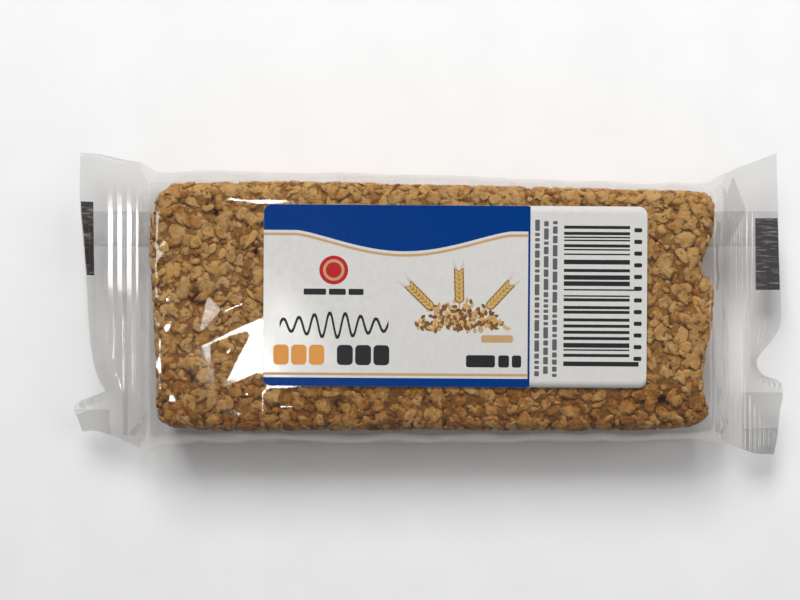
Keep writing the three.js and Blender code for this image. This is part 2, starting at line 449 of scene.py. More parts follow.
# The clear film.
# One sheet of polypropylene about 40 microns thick is folded round the bar into a tube, welded
# along the back, then welded flat and cut at both ends by crimping jaws. The loose film round
# the bar's ends buckles, and each end fin has curled up and folded over near its front corner.
RAW_TO_FRAME = np.array([0.098, 0.1355, 0.0])  # from the pack's own middle to the frame's
BAR_END = 60
FILM_TOP = 17.0
FILM_BASE = 0.3
TOP_EDGE_BACK = smooth_through([[-60, 25.3], [0, 24.6], [60, 23.4]])
TOP_EDGE_FRONT = smooth_through([[-60, -26], [60, -26]])
SIDE_CREASE_HEIGHT = 8
EDGE_RUN = 1.5  # how far in over the bar the film starts to turn down
EDGE_FULLNESS = (0.45, 0.55)  # how far up the side, and out over the edge, its turn is held
BACK_EDGE = smooth_through([
    [-78, 33.3], [-74, 33.1], [-68, 31.8], [-63.5, 31.1], [-60, 28.6], [-50, 29.2],
    [0, 28.2], [59, 26.6], [66, 29.3], [72, 31.4], [78, 33.6],
])
FRONT_EDGE = smooth_through([
    [-78, -28.6], [-74, -28.3], [-69, -29.8], [-62.4, -32.6], [-58.5, -31.1],
    [0, -31], [60, -30.5], [67, -31.6], [72, -33.2], [78, -33.6],
])
OVER_BAR = 0.12  # the film's least gap over the bar's top, and round its sides and ends
ROUND_BAR = 0.6
LABEL_PLAY = 0.25  # how far the film may rise above its place on the bar's top
SEAL_HEIGHT = 8
FIN_THICKNESS = 0.14
# Each fin goes from its seal line, lies flat for a way, and then bends up or down. The functions
# give its length, its flat part and its bend in degrees by Y. The dip is the whole fin's slope.
LEFT_SEAL = {
    "way": -1,
    "line": 67.5,
    "pitch": 2.1,  # of the jaws' grooves, with their depth and width
    "groove": 0.12,
    "groove_width": 0.09,
    "dip": 3.0,
    "length": smooth_through([
        [-30, 9.2], [-27, 10.6], [-23, 11], [-19, 9.8], [0, 10], [33.6, 9.8],
    ]),
    "flat": smooth_through([
        [-33.6, 3], [-25, 3], [-23, 2.5], [-20.6, 1], [-18.9, 0.2], [-17.7, 0.3],
        [-13.4, 1.6], [-8, 2.8], [-5, 3.2], [0, 3.8], [33.6, 3.9],
    ]),
    "bend_run": 4.0,
    "bend": smooth_through([
        [-33.6, -20], [-26, -14], [-24, 0], [-22.2, 30], [-20.6, 60], [-18.9, 93],
        [-17.5, 89], [-13.4, 81], [-5, 79], [0, 80], [5, 75], [10, 66], [15, 57], [20, 41],
        [24, 28], [29, 8], [33.6, 0],
    ]),
}
RIGHT_SEAL = {
    "way": 1,
    "line": 68.5,
    "pitch": 1.15,
    "groove": 0.2,
    "groove_width": 0.2,
    "dip": 0.0,
    "length": smooth_through([
        [-33.6, 8], [-22, 9.4], [-20, 9.3], [-18, 8.9], [-12, 8.6], [0, 8.6], [33.6, 8],
    ]),
    "flat": smooth_through([[-33.6, 0.3], [33.6, 0.3]]),
    "bend_run": 2.6,
    "bend": smooth_through([
        [-33.6, -14], [-24, -10], [-20.5, -2], [-18, 18], [-16.5, 50], [-15.6, 80],
        [-12, 92], [-8, 62], [-3, 20], [5, 4], [33.6, -3],
    ]),
}
ALONG_STEPS = 190  # rows of film from one seal line to the other
ACROSS_STEPS = 148  # columns over the top, and as many under it
FIN_STEPS = 54
BEND_STEPS = 24
CLOSE_ROWS = 6  # near each seal line, the rows that are divided again to carry the crimps
CRIMPED_INSIDE = 3.2  # how far inside its seal line the jaws have already pressed the film flat
CRIMPS_FADE = 0.6  # over this much further in
WRINKLE_SIZE = (0.12, 0.29)  # how many wrinkles there are to a millimetre, large and small
GATHER_REACH = 9  # how far in from the seals the film is gathered
# How much longer the film is than its path, as shares of it
EXTRA_ALONG = {"corners": 0.022, "sides": 0.006, "ends": 0.008}
EXTRA_ACROSS = {"sides": 0.003, "ends": 0.014}
WIDE_STEPS = (3, 8)  # the film's stiffness holds points this many steps apart
CLOSE_PULL = 0.24
WIDE_PULL = 0.06
BUCKLE_ROUNDS = 120
PUSH = 0.9  # the share of its way out of the bar that a point is moved in a round
OVER_TOP_FROM = 16  # creases and bumps only form in film that lies above this height
OVER_TOP_RUN = 0.8
CREASES = [  # soft ridges in the film over the bar: their paths, widths and heights
    ([(-49, 24.2), (-44, 23.1), (-38.7, 22.6), (-28, 22.35), (-18, 22.3)], 0.85, 0.1),
    ([(-56, 20), (-40, 3), (-37, -4)], 2.6, 0.08),
    ([(47, 22), (53, 8), (56, -12), (52, -23)], 2.2, 0.1),
    ([(-8, -24), (14, -23), (40, -23.6)], 1.6, 0.08),
]
BUMP_SLOPE = 0.105
BUMPS = [  # the corners of shallow bumps with straight sides that the film makes by the label
    [(-46.6, -8.8), (-38.7, -6.0), (-44.9, -18.2)],
    [(-51.0, -9.8), (-36.1, -2.6), (-36.1, 6.0), (-48.0, 2.0)],
    [(-46.6, -18.8), (-36.1, -14.6), (-36.1, -26.0)],
    [(-36.1, -18.2), (-24.0, -18.2), (-26.0, -26.0), (-36.1, -26.0)],
]


def even_places(path, count):
    """Places at even gaps along a path of corners."""
    path = np.array(path, float)
    length = np.concatenate([[0], np.cumsum(np.hypot(*np.diff(path, axis=0).T))])
    even = np.linspace(0, length[-1], count)
    return np.stack([np.interp(even, length, path[:, k]) for k in range(2)], axis=1)


def film_section(x, top, base):
    """The film's loop round the pack at x: over the top from the back crease, and back under."""
    def half(height):
        rise = height - SIDE_CREASE_HEIGHT
        t = np.linspace(0, 1, 24)[:, None]
        sides = []
        for crease, edge in ((BACK_EDGE(x), TOP_EDGE_BACK(x)), (FRONT_EDGE(x), TOP_EDGE_FRONT(x))):
            out = crease - edge
            knots = [
                (crease, SIDE_CREASE_HEIGHT),
                (crease, SIDE_CREASE_HEIGHT + EDGE_FULLNESS[0] * rise),
                (edge + EDGE_FULLNESS[1] * out, height),
                (edge - EDGE_RUN * np.sign(out), height),
            ]
            weights = ((1 - t) ** 3, 3 * t * (1 - t) ** 2, 3 * t * t * (1 - t), t ** 3)
            sides.append(sum(w * np.array(k, float) for w, k in zip(weights, knots)))
        return even_places(np.concatenate([sides[0], sides[1][::-1]]), ACROSS_STEPS + 1)

    over, under = half(top), half(base)[::-1]
    loop = np.concatenate([over[:-1], under[:-1]])
    return np.column_stack([np.full(len(loop), x), loop])


def film_heights(x):
    """The height of the film's top and underside at x."""
    past = abs(x) - BAR_END
    line = LEFT_SEAL["line"] if x < 0 else RIGHT_SEAL["line"]
    t = min(max(past / (line - CRIMPED_INSIDE + 1 - BAR_END), 0.0), 1.0)
    fall = (t + float(smoothstep(t))) / 2
    seal = (SEAL_HEIGHT + FIN_THICKNESS / 2, SEAL_HEIGHT - FIN_THICKNESS / 2)
    return FILM_TOP + (seal[0] - FILM_TOP) * fall, FILM_BASE + (seal[1] - FILM_BASE) * fall


def plain_film():
    """The film between its two seal lines, before it buckles: rows of points round the pack."""
    fine = np.linspace(-LEFT_SEAL["line"], RIGHT_SEAL["line"], 2000)
    path = [(x, film_heights(x)[0]) for x in fine]
    stations = even_places(path, ALONG_STEPS + 1)[:, 0]
    return np.array([film_section(x, *film_heights(x)) for x in stations])


def push_out_of_bar(film):
    """Keeps the film round the bar, over the floor, and flat under the label."""
    x, y, z = (film[..., k] for k in range(3))
    inside = np.stack([
        SLAB_MIDDLE_HEIGHT + SLAB_HALF[2] + OVER_BAR - z, z - FILM_BASE,
        back_side(x) + ROUND_BAR - y, y - front_side(x) + ROUND_BAR,
        right_end(y) + ROUND_BAR - x, x - left_end(y) + ROUND_BAR,
    ])
    # The bar's edges are round, so the film may pass closer there
    gap = SLAB_EDGE_ROUNDING - np.clip(inside, None, SLAB_EDGE_ROUNDING)
    deep = SLAB_EDGE_ROUNDING - np.sqrt(
        np.maximum(gap[0], gap[1]) ** 2 + np.maximum(gap[2], gap[3]) ** 2
        + np.maximum(gap[4], gap[5]) ** 2)
    hit = (inside.min(axis=0) > 0) & (deep > 0)
    nearest = inside.argmin(axis=0)
    ways = [[0, 0, 1], [0, 0, -1], [0, 1, 0], [0, -1, 0], [1, 0, 0], [-1, 0, 0]]
    film += np.where(hit, deep, 0)[..., None] * np.array(ways, float)[nearest] * PUSH
    film[..., 2] = np.clip(film[..., 2], FILM_BASE, FILM_TOP + LABEL_PLAY)


def buckle(film, extra_along, extra_across, loose):
    """Lets film that is a little longer than its path settle into folds, its seal lines held."""
    def gaps(points, step, axis):
        if axis:
            return np.linalg.norm(np.roll(points, -step, axis=1) - points, axis=2)
        return np.linalg.norm(points[step:] - points[:-step], axis=2)

    rest_along = gaps(film, 1, 0) * (1 + (extra_along[1:] + extra_along[:-1]) / 2)
    rest_across = gaps(film, 1, 1) * (1 + extra_across)
    stiff = [(step, gaps(film, step, 0), gaps(film, step, 1)) for step in WIDE_STEPS]
    free = np.ones(len(film))
    free[[0, -1]] = 0
    free = free[:, None, None]
    swell = np.array([
        [noise.noise(Vector(p) * WRINKLE_SIZE[0]) + 0.5 * noise.noise(Vector(p) * WRINKLE_SIZE[1])
         for p in row] for row in film])
    out = np.cross(np.gradient(film, axis=0), np.roll(film, -1, axis=1) - np.roll(film, 1, axis=1))
    out /= np.maximum(np.linalg.norm(out, axis=2, keepdims=True), 1e-6)
    film = film + out * (swell * loose)[..., None] * free

    def draw_together(step, axis, rest, pull_share):
        """Moves points this many steps apart towards their rest gap."""
        if axis:
            gap = np.roll(film, -step, axis=1) - film
        else:
            gap = film[step:] - film[:-step]
        size = np.maximum(np.linalg.norm(gap, axis=2), 1e-6)
        pull = (pull_share * (size - rest) / size)[..., None] * gap
        if axis:
            film[...] += (pull - np.roll(pull, step, axis=1)) * free
        else:
            move = np.zeros_like(film)
            move[:-step] += pull
            move[step:] -= pull
            film[...] += move * free

    for _ in range(BUCKLE_ROUNDS):
        for _ in range(3):
            draw_together(1, 0, rest_along, CLOSE_PULL)
            draw_together(1, 1, rest_across, CLOSE_PULL)
        for step, wide_along, wide_across in stiff:
            draw_together(step, 0, wide_along, WIDE_PULL)
            draw_together(step, 1, wide_across, WIDE_PULL)
        push_out_of_bar(film)
    for _ in range(2):
        around = (np.roll(film, 1, axis=1) + np.roll(film, -1, axis=1)) / 2
        film[1:-1] = 0.5 * film[1:-1] + 0.25 * around[1:-1] + 0.125 * (film[2:] + film[:-2])
    push_out_of_bar(film)
    return film


def divide_end_rows(film):
    """The same film, with four rows for each one near its two seal lines."""
    last = len(film) - 1
    ends = np.arange(0, CLOSE_ROWS, 0.25)
    places = np.concatenate([ends, np.arange(CLOSE_ROWS, last - CLOSE_ROWS), last - ends[::-1]])
    low = np.minimum(places.astype(int), last - 1)
    share = (places - low)[:, None, None]
    return film[low] * (1 - share) + film[low + 1] * share


def fin_middle(seal, share, y):
    """The middle of a fin's thickness at this share of its length, at these places across it."""
    length = share * seal["length"](y)
    bend = np.radians(seal["bend"](y))
    line = np.full_like(y, seal["way"] * seal["line"])
    point = np.stack([line, y, np.full_like(y, SEAL_HEIGHT)], axis=1)
    for i in range(BEND_STEPS):
        past_flat = (i + 0.5) * length / BEND_STEPS - seal["flat"](y)
        angle = bend * smoothstep(past_flat / seal["bend_run"]) - math.radians(seal["dip"])
        point[:, 0] += seal["way"] * np.cos(angle) * length / BEND_STEPS
        point[:, 2] += np.sin(angle) * length / BEND_STEPS
    return point


def crimp(seal, run):
    """How deep the jaws' grooves are, this far out from the seal line."""
    across = (run / seal["pitch"] + 0.5) % 1 - 0.5
    return seal["groove"] * (0.25 - np.exp(-(across / seal["groove_width"]) ** 2))


def fin_surface(seal, share, y, lift):
    """Places across a crimped fin, this share of its length out and this far over its middle."""
    reach = 0.02
    middle = fin_middle(seal, share, y)
    along = (fin_middle(seal, share + reach, y) - middle) * seal["way"]
    across = fin_middle(seal, share, y + reach) - middle
    out = np.cross(along, across)
    out /= np.linalg.norm(out, axis=1, keepdims=True)
    return middle + out * (crimp(seal, share * seal["length"](y)) + lift)[:, None]


def fin_rows(seal):
    """The crimped fin: rows of points round it, from its seal line to its cut edge."""
    rows = []
    for i in range(1, FIN_STEPS + 1):
        share = i / FIN_STEPS
        nominal = seal["way"] * (seal["line"] + share * float(seal["length"](0.0)))
        y = np.linspace(BACK_EDGE(nominal), FRONT_EDGE(nominal), ACROSS_STEPS + 1)
        top = fin_surface(seal, share, y, FIN_THICKNESS / 2)
        base = fin_surface(seal, share, y, -FIN_THICKNESS / 2)
        rows.append(np.concatenate([top[:-1], base[::-1][:-1]]))
    return np.array(rows)


def film_faces(rows, columns):
    """Quads between neighbouring rows of the film's loop, and the caps over its two cut edges."""
    number = np.arange(rows * columns).reshape(rows, columns)
    right = np.roll(number, -1, axis=1)
    quads = np.stack([number[:-1], right[:-1], right[1:], number[1:]], axis=-1).reshape(-1, 4)
    faces = quads[:, ::-1].tolist()
    half = columns // 2
    for row, turned in ((number[0], False), (number[-1], True)):
        for j in range(half):
            under = [(columns - j) % columns, (columns - j - 1) % columns]
            cap = [row[j], row[under[0]], row[under[1]], row[j + 1]]
            cap = [int(c) for k, c in enumerate(cap) if c not in cap[:k]]
            faces.append(cap if turned else cap[::-1])
    return faces


def crease_profile(film, path, width):
    """A soft ridge along a path over the pack, 1 at its crest and thinning out at its ends."""
    place = film[..., :2].reshape(-1, 1, 2)
    start, run = np.array(path[:-1], float), np.diff(np.array(path, float), axis=0)
    share = np.clip(((place - start) * run).sum(axis=2) / (run ** 2).sum(axis=1), 0, 1)
    gap = np.linalg.norm(start + share[..., None] * run - place, axis=2)
    nearest = gap.argmin(axis=1)
    pick = np.arange(len(gap)), nearest
    far = (nearest + share[pick]) / len(run)
    crest = np.sin(math.pi * np.clip(far, 0, 1)) ** 0.5
    return (crest * np.exp(-(gap[pick] / width) ** 2)).reshape(film.shape[:2])


def bump_rise(film, corners):
    """How high a bump with straight sides stands at each place: all sides have the same slope."""
    corners = np.array(corners, float)
    sides = np.roll(corners, -1, axis=0) - corners
    way = np.sign(np.cross(sides[0], sides[1]))
    gaps = []
    for corner, side in zip(corners, sides):
        x, y = np.moveaxis(film[..., :2] - corner, -1, 0)
        gaps.append(way * (side[0] * y - side[1] * x) / np.hypot(*side))
    return BUMP_SLOPE * np.clip(np.min(gaps, axis=0), 0, None)


def make_film_material(name):
    """Clear glossy film: it lets most light through, and mirrors more the more aslant it is."""
    material, add = new_material(name)
    crinkle = speckle(add, add("TexCoord").outputs["Object"], 150.0)
    bump = add("Bump", Strength=0.3, Distance=0.00006, Height=crinkle).outputs["Normal"]
    slant = add("LayerWeight", Blend=0.5).outputs["Facing"]
    through = add("BsdfTransparent", Color=(0.932, 0.93, 0.928, 1)).outputs[0]
    mirror = add("BsdfGlossy", Color=(1, 1, 1, 1), Roughness=0.06, Normal=bump).outputs[0]
    shine = spread(add, slant, (0.3, 1.0), (0.06, 0.5))
    mixed = add("MixShader", Fac=shine, _1=through, _2=mirror)
    add("OutputMaterial", Surface=mixed.outputs[0])
    return material


tube = plain_film()
from_end = np.minimum(tube[..., 0] + LEFT_SEAL["line"], RIGHT_SEAL["line"] - tube[..., 0])
down_side = np.clip((FILM_TOP - tube[..., 2]) / 4, 0, 1)
near_end = np.exp(-(from_end / GATHER_REACH) ** 2)
extra_along = EXTRA_ALONG["corners"] * near_end * down_side
extra_along = extra_along + EXTRA_ALONG["sides"] * down_side + EXTRA_ALONG["ends"] * near_end
extra_across = EXTRA_ACROSS["ends"] * near_end + EXTRA_ACROSS["sides"] * down_side
loose = 0.03 + 0.9 * np.clip(near_end * down_side + 0.6 * down_side, 0, 1)
tube = buckle(tube, extra_along, extra_across, loose * smoothstep(from_end / 4))
tube = divide_end_rows(tube)
over_top = smoothstep((tube[..., 2] - OVER_TOP_FROM) / OVER_TOP_RUN)
for path, width, height in CREASES:
    tube[..., 2] += over_top * height * crease_profile(tube, path, width)
for corners in BUMPS:
    tube[..., 2] += over_top * bump_rise(tube, corners)
side = np.where(np.arange(tube.shape[1]) < ACROSS_STEPS, 1, -1)
for seal in (LEFT_SEAL, RIGHT_SEAL):
    inside = seal["line"] - seal["way"] * tube[..., 0]
    pressed = 1 - smoothstep((inside - CRIMPED_INSIDE) / CRIMPS_FADE)
    flat = SEAL_HEIGHT + side * FIN_THICKNESS / 2 + inside * math.tan(math.radians(seal["dip"]))
    rise = flat + side * crimp(seal, -inside) - tube[..., 2]
    tube[..., 2] += pressed * rise
loops = np.concatenate([fin_rows(LEFT_SEAL)[::-1], tube, fin_rows(RIGHT_SEAL)])
film_points = loops.reshape(-1, 3) + RAW_TO_FRAME
film_quads = film_faces(*loops.shape[:2])
film = make_piece("film", film_points, film_quads)
clear_film = make_film_material("clear_polypropylene")
film.data.materials.append(clear_film)
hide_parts("wrapper")

# The folds pressed into the film.
# Where the tube was gathered into its end seals it lies folded on itself. The jaws have pressed
# these folds flat, so each one is an extra layer of film with a sharp edge.
FOLD_LIFT = 0.05
FOLD_THICKNESS = 0.06
ABOVE_PACK = 40  # the height from which a fold's places are dropped onto the film
FOLDS = {  # each fold's two long edges, seen from above
    "back_right_fold": (
        [(65.2, 24.2), (65.4, 13.2)],
        [(66.9, 28.2), (69.8, 20.3), (65.6, 13.1)]),
    "right_end_fold": (
        [(63.8, 25.2), (64.2, 8), (63.7, -6), (64.4, -18)],
        [(64.8, 25.6), (65.3, 8), (64.6, -6), (65.3, -18)]),
    "front_right_fold": (
        [(60.3, -11.5), (62.3, -22.2), (64.0, -26.6), (62.1, -28.6)],
        [(61.1, -11.3), (64.2, -22.0), (65.9, -26.2), (63.2, -29.0)]),
    "left_end_fold": (
        [(-68.0, 2.6), (-67.7, -28.8)],
        [(-66.9, 2.6), (-66.6, -29.2)]),
    "front_left_fold": (
        [(-61.2, -22.5), (-66.4, -28.6)],
        [(-60.9, -24.5), (-65.1, -29.2)]),
}
LOBE_FOLDS = {  # each fin's front lobe folds: the seal, the share of its length, the Y, the layer
    "front_right_lobe_fold": (RIGHT_SEAL, 0.04, -19.6, 1),
    "front_right_corner_fold": (RIGHT_SEAL, 0.07, -27.6, 2),
    "front_left_lobe_fold": (LEFT_SEAL, 0.3, -23.4, 1),
}
CUT_EDGE = 0.995  # the share of a fin's length where what lies on it ends


def closed_strip(over, under):
    """A closed thin solid between two grids of points of the same shape."""
    n, m = over.shape[:2]
    number = np.arange(n * m).reshape(n, m)
    a, b, c, d = number[:-1, :-1], number[1:, :-1], number[1:, 1:], number[:-1, 1:]
    quads = np.stack([a, b, c, d], axis=-1).reshape(-1, 4)
    faces = quads.tolist() + (quads[:, ::-1] + n * m).tolist()
    rim = np.concatenate([number[:, 0], number[-1, 1:], number[-2::-1, -1], number[0, -2:0:-1]])
    for i, j in zip(rim, np.roll(rim, -1)):
        faces.append([int(j), int(i), int(i + n * m), int(j + n * m)])
    return np.concatenate([over.reshape(-1, 3), under.reshape(-1, 3)]), faces


def add_layer(name, over, under, material, slot):
    """A thin layer that lies on the pack, between two grids of points."""
    aside = over[0, -1, :2] - over[0, 0, :2]
    if np.cross(over[-1, 0, :2] - over[0, 0, :2], aside) < 0:
        over, under = over[::-1], under[::-1]
    layer = make_piece(name, *closed_strip(over, under))
    layer.data.materials.append(material)


film_skin = BVHTree.FromPolygons(film_points.tolist(), [list(map(int, f)) for f in film_quads])
for fold, edges in FOLDS.items():
    near_edge, far_edge = (even_places(edge, 48)[:, None] for edge in edges)
    share = np.linspace(0, 1, 9)[None, :, None]
    flat = near_edge * (1 - share) + far_edge * share
    height = np.array([
        [film_skin.ray_cast(Vector((*place, ABOVE_PACK)), Vector((0, 0, -1)))[0].z
         for place in row] for row in flat])
    over = np.concatenate([flat, height[..., None] + FOLD_LIFT + FOLD_THICKNESS], axis=2)
    add_layer(fold, over, over - [0, 0, FOLD_THICKNESS], clear_film, "clear_film")

for fold, (seal, inner, start, layer) in LOBE_FOLDS.items():
    top = FIN_THICKNESS / 2 + (FOLD_LIFT + FOLD_THICKNESS) * layer
    sheets = []
    for lift in (top, top - FOLD_THICKNESS):
        rows = []
        for share in np.linspace(inner, CUT_EDGE, 32):
            edge = FRONT_EDGE(seal["way"] * (seal["line"] + share * seal["length"](0.0)))
            rows.append(fin_surface(seal, share, np.linspace(edge + 0.1, start, 32), lift))
        sheets.append(np.array(rows) + RAW_TO_FRAME)
    add_layer(fold, *sheets, clear_film, "clear_film")

# The back seam.
# The two long edges of the film are welded face to face under the bar, and the weld is folded
# flat against the underside. It runs from one cut edge of the pack to the other.
SEAM_EDGES = (12.6, 20.4)
SEAM_COLUMNS = 10
SEAM_THICKNESS = 0.1
SEAM_GAP = 0.04

seam_y = np.linspace(*SEAM_EDGES, SEAM_COLUMNS)
seam = []
for loop in loops:
    under = loop[ACROSS_STEPS:]
    under = under[np.argsort(under[:, 1])]
    seam.append(np.stack([np.interp(seam_y, under[:, 1], under[:, k]) for k in range(3)], axis=1))
seam = np.array(seam) + RAW_TO_FRAME - [0, 0, SEAM_GAP]
add_layer("back_seam", seam, seam - [0, 0, SEAM_THICKNESS], clear_film, "clear_film")

# The ink marks.
# The film is printed with one black block at each cut edge, which the packing machine's eye
# reads to place the cut. The crimping jaws have cracked the ink a little.
MARK_LIFT = FIN_THICKNESS / 2 + 0.02
MARK_THICKNESS = 0.02
MARKS = {  # the seal, the shares of its length that the mark covers, and from which Y to which
    "left_ink_mark": (LEFT_SEAL, (0.7, 0.985), (6.2, 22.4)),
    "right_ink_mark": (RIGHT_SEAL, (0.38, 0.985), (3.0, 18.8)),
}
WORN_STOPS = [(0.52, (0.045, 0.04, 0.042)), (0.74, (0.22, 0.21, 0.21))]


def make_worn_ink_material(name):
    """Black ink on film, cracked along the crimps and rubbed off in fine lines."""
    material, add = new_material(name)
    place = add("TexCoord").outputs["Object"]
    lines = add("Mapping", Vector=place, Scale=(260.0, 2300.0, 260.0)).outputs["Vector"]
    worn = colour_ramp(add, speckle(add, lines, 1.0), WORN_STOPS)
    cracks = speckle(add, place, 1500.0, 3.0)
    bump = add("Bump", Strength=0.3, Distance=0.0001, Height=cracks).outputs["Normal"]
    rough = spread(add, cracks, (0.3, 0.7), (0.25, 0.45))
    skin = add("BsdfPrincipled", Base_Color=worn, Roughness=rough, Normal=bump)
    add("OutputMaterial", Surface=skin.outputs[0])
    return material


black_ink = make_worn_ink_material("black_ink")
for mark, (seal, shares, across) in MARKS.items():
    y = np.linspace(*across, 40)
    sheets = []
    for lift in (MARK_LIFT + MARK_THICKNESS, MARK_LIFT):
        rows = [fin_surface(seal, share, y, lift) for share in np.linspace(*shares, 30)]
        sheets.append(np.array(rows) + RAW_TO_FRAME)
    add_layer(mark, *sheets, black_ink, "seal_mark")

# The label.
# A die-cut sticker of semi-gloss white paper with round corners. A machine has stuck it on the
# film over the bar, where it waves a little with the film.
LABEL_SIZE = (82, 38.8)
LABEL_CORNER = 1.8
LABEL_AT = np.array([5.1, 1.6, 0.0]) + RAW_TO_FRAME
LABEL_TURN = math.radians(-0.4)
PAPER_BASE = 17.06
PAPER_THICKNESS = 0.12
PAPER_WHITE = (0.62, 0.61, 0.585)
PRINT_CELL = 1.5


def label_wave(x, y):
    """How the paper waves over the film, at a place on the label."""
    return 0.03 * np.sin(x / 6.1 + 0.8) * np.cos(y / 7.3 + 0.3) + 0.02 * np.sin(x / 2.9 + y / 4.1)


def on_label(x, y, lift):
    """Places on the label, in its own millimetres from its middle, as points on the pack."""
    x, y = np.asarray(x, float), np.asarray(y, float)
    lift = np.broadcast_to(np.asarray(lift, float), x.shape)
    c, s = math.cos(LABEL_TURN), math.sin(LABEL_TURN)
    z = PAPER_BASE + label_wave(x, y) + lift
    return np.stack([c * x - s * y + LABEL_AT[0], s * x + c * y + LABEL_AT[1], z], axis=-1)


def slab_between(stations, low, high, base, top):
    """A thin closed slab on the label: for each station along X, its low and high edge in Y."""
    stations = np.asarray(stations, float)
    low = np.broadcast_to(np.asarray(low, float), stations.shape)
    high = np.broadcast_to(np.asarray(high, float), stations.shape)
    rows = max(1, int(math.ceil(np.max(high - low) / PRINT_CELL)))
    share = np.linspace(0, 1, rows + 1)
    x = np.repeat(stations[:, None], rows + 1, axis=1)
    y = low[:, None] + (high - low)[:, None] * share
    return closed_strip(on_label(x, y, top), on_label(x, y, base))


def round_ended(left, right, low, high, radius):
    """Stations and edges of a box with round corners, for slab_between."""
    radius = min(radius, (high - low) / 2, (right - left) / 2)
    turn = np.linspace(0, math.pi / 2, 7)
    inset = radius * (1 - np.sin(turn))
    near = left + radius * (1 - np.cos(turn))
    count = max(2, int((right - left - 2 * radius) / PRINT_CELL))
    middle = np.linspace(left + radius, right - radius, count + 1)[1:-1]
    far = (left + right) - near[::-1]
    stations = np.concatenate([near, middle, far])
    pull = np.concatenate([inset, np.zeros(len(middle)), inset[::-1]])
    keep = np.concatenate([[True], np.diff(stations) > 1e-6])
    stations, pull = stations[keep], pull[keep]
    pull = np.minimum(pull, (high - low) / 2 - 0.01)
    return stations, low + pull, high - pull


def make_print_material(name, colour, rough, gloss):
    """Printed semi-gloss paper: a flat ink with a faint uneven lay and the paper's own grain."""
    material, add = new_material(name)
    place = add("TexCoord").outputs["Object"]
    lay = speckle(add, place, 900.0, 3.0)
    darker = tuple(c * 0.965 for c in colour)
    lighter = tuple(c * 1.02 for c in colour)
    ink = colour_ramp(add, lay, [(0.3, darker), (0.7, lighter)])
    grain = speckle(add, place, 2400.0)
    bump = add("Bump", Strength=0.1, Distance=0.00004, Height=grain).outputs["Normal"]
    uneven = spread(add, lay, (0.3, 0.7), (rough - 0.04, rough + 0.06))
    skin = add(
        "BsdfPrincipled", Base_Color=ink, Roughness=uneven, Normal=bump, Specular_IOR_Level=gloss)
    add("OutputMaterial", Surface=skin.outputs[0])
    return material


half_length, half_width = LABEL_SIZE[0] / 2, LABEL_SIZE[1] / 2
outline = round_ended(-half_length, half_length, -half_width, half_width, LABEL_CORNER)
label_paper = make_piece("label_paper", *slab_between(*outline, 0.0, PAPER_THICKNESS))
label_paper.data.materials.append(
    make_print_material("label_paper_white", PAPER_WHITE, rough=0.14, gloss=0.5))
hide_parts("label")

# The label's print.
# A press lays blue, gold, red, brown and black inks on the paper: a blue band along the top and
# the foot with a gold line, a grain motif, plain blocks and bars, and stripes on the right panel.
PRINT_SEED = 19
INK_THICKNESS = 0.008
INK_GAP = 0.002
FIELD_RIGHT = 15.6  # where the coloured field ends and the plain right panel starts
INKS = {
    "blue_ink": (0.0, 0.034, 0.19),
    "gold_ink": (0.5, 0.31, 0.15),
    "red_ink": (0.43, 0.02, 0.025),
    "orange_ink": (0.66, 0.29, 0.07),
    "dark_ink": (0.025, 0.025, 0.028),
    "brown_ink": (0.2, 0.09, 0.03),
    "straw_ink": (0.56, 0.36, 0.12),
    "grey_ink": (0.11, 0.11, 0.12),
}
print_draw = np.random.default_rng(PRINT_SEED)
printed = {ink: [] for ink in INKS}


def ink_heights(layer):
    """The underside and top of a layer of ink over the paper."""
    base = PAPER_THICKNESS + INK_THICKNESS * (layer - 1) + INK_GAP
    return base, base + INK_THICKNESS


def print_band(ink, stations, low, high, layer=1):
    """A printed band between a low and a high edge that change along X."""
    printed[ink].append(slab_between(stations, low, high, *ink_heights(layer)))


def print_block(ink, left, right, low, high, radius=0.3, layer=1):
    """A printed box with round corners, or a disc where the radius is half its size."""
    print_band(ink, *round_ended(left, right, low, high, radius), layer)


def print_leaf(ink, x, y, turn, length, width, layer=1):
    """A printed pointed oval, such as a grain, from its foot at x, y."""
    share = np.linspace(0.02, 0.98, 8)
    wide = width / 2 * np.sin(math.pi * share ** 0.8)
    along = np.array([math.cos(turn), math.sin(turn)])
    aside = np.array([-along[1], along[0]])
    spine = np.array([x, y]) + along * length * share[:, None]
    places = np.stack([spine + aside * (wide * k)[:, None] for k in (-1, 0, 1)], axis=1)
    under, over = (on_label(places[..., 0], places[..., 1], z) for z in ink_heights(layer))
    printed[ink].append(closed_strip(over, under))


# Blue bands and gold lines
BAND_INSET = 0.02  # the print stops this far inside the paper's edge
round_corner = LABEL_CORNER * (1 - np.cos(np.linspace(0, math.pi / 2, 7)))
across_field = np.concatenate([
    -half_length + BAND_INSET + round_corner,
    np.linspace(-half_length + LABEL_CORNER, FIELD_RIGHT, 42)[1:],
])
past_corner = np.clip((-half_length + LABEL_CORNER - across_field) / LABEL_CORNER, 0, 1)
corner = LABEL_CORNER * (1 - np.sqrt(np.clip(1 - past_corner ** 2, 0, 1)))
foot = -half_width + corner
swag = 13.9 - 4.4 * np.sin(math.pi * np.clip((across_field + 34) / 46, 0, 1)) ** 1.3
print_band("blue_ink", across_field, swag, half_width - BAND_INSET - corner)
print_band("gold_ink", across_field, swag - 1.15, swag - 0.6)
print_band("blue_ink", across_field, foot + BAND_INSET, np.maximum(-17.6, foot + 0.06))
print_band("gold_ink", across_field, -17.1, -16.55)
print_block(
    "blue_ink", FIELD_RIGHT - 0.05, FIELD_RIGHT + 0.4, -half_width + 0.1, half_width - 0.1, 0.02)

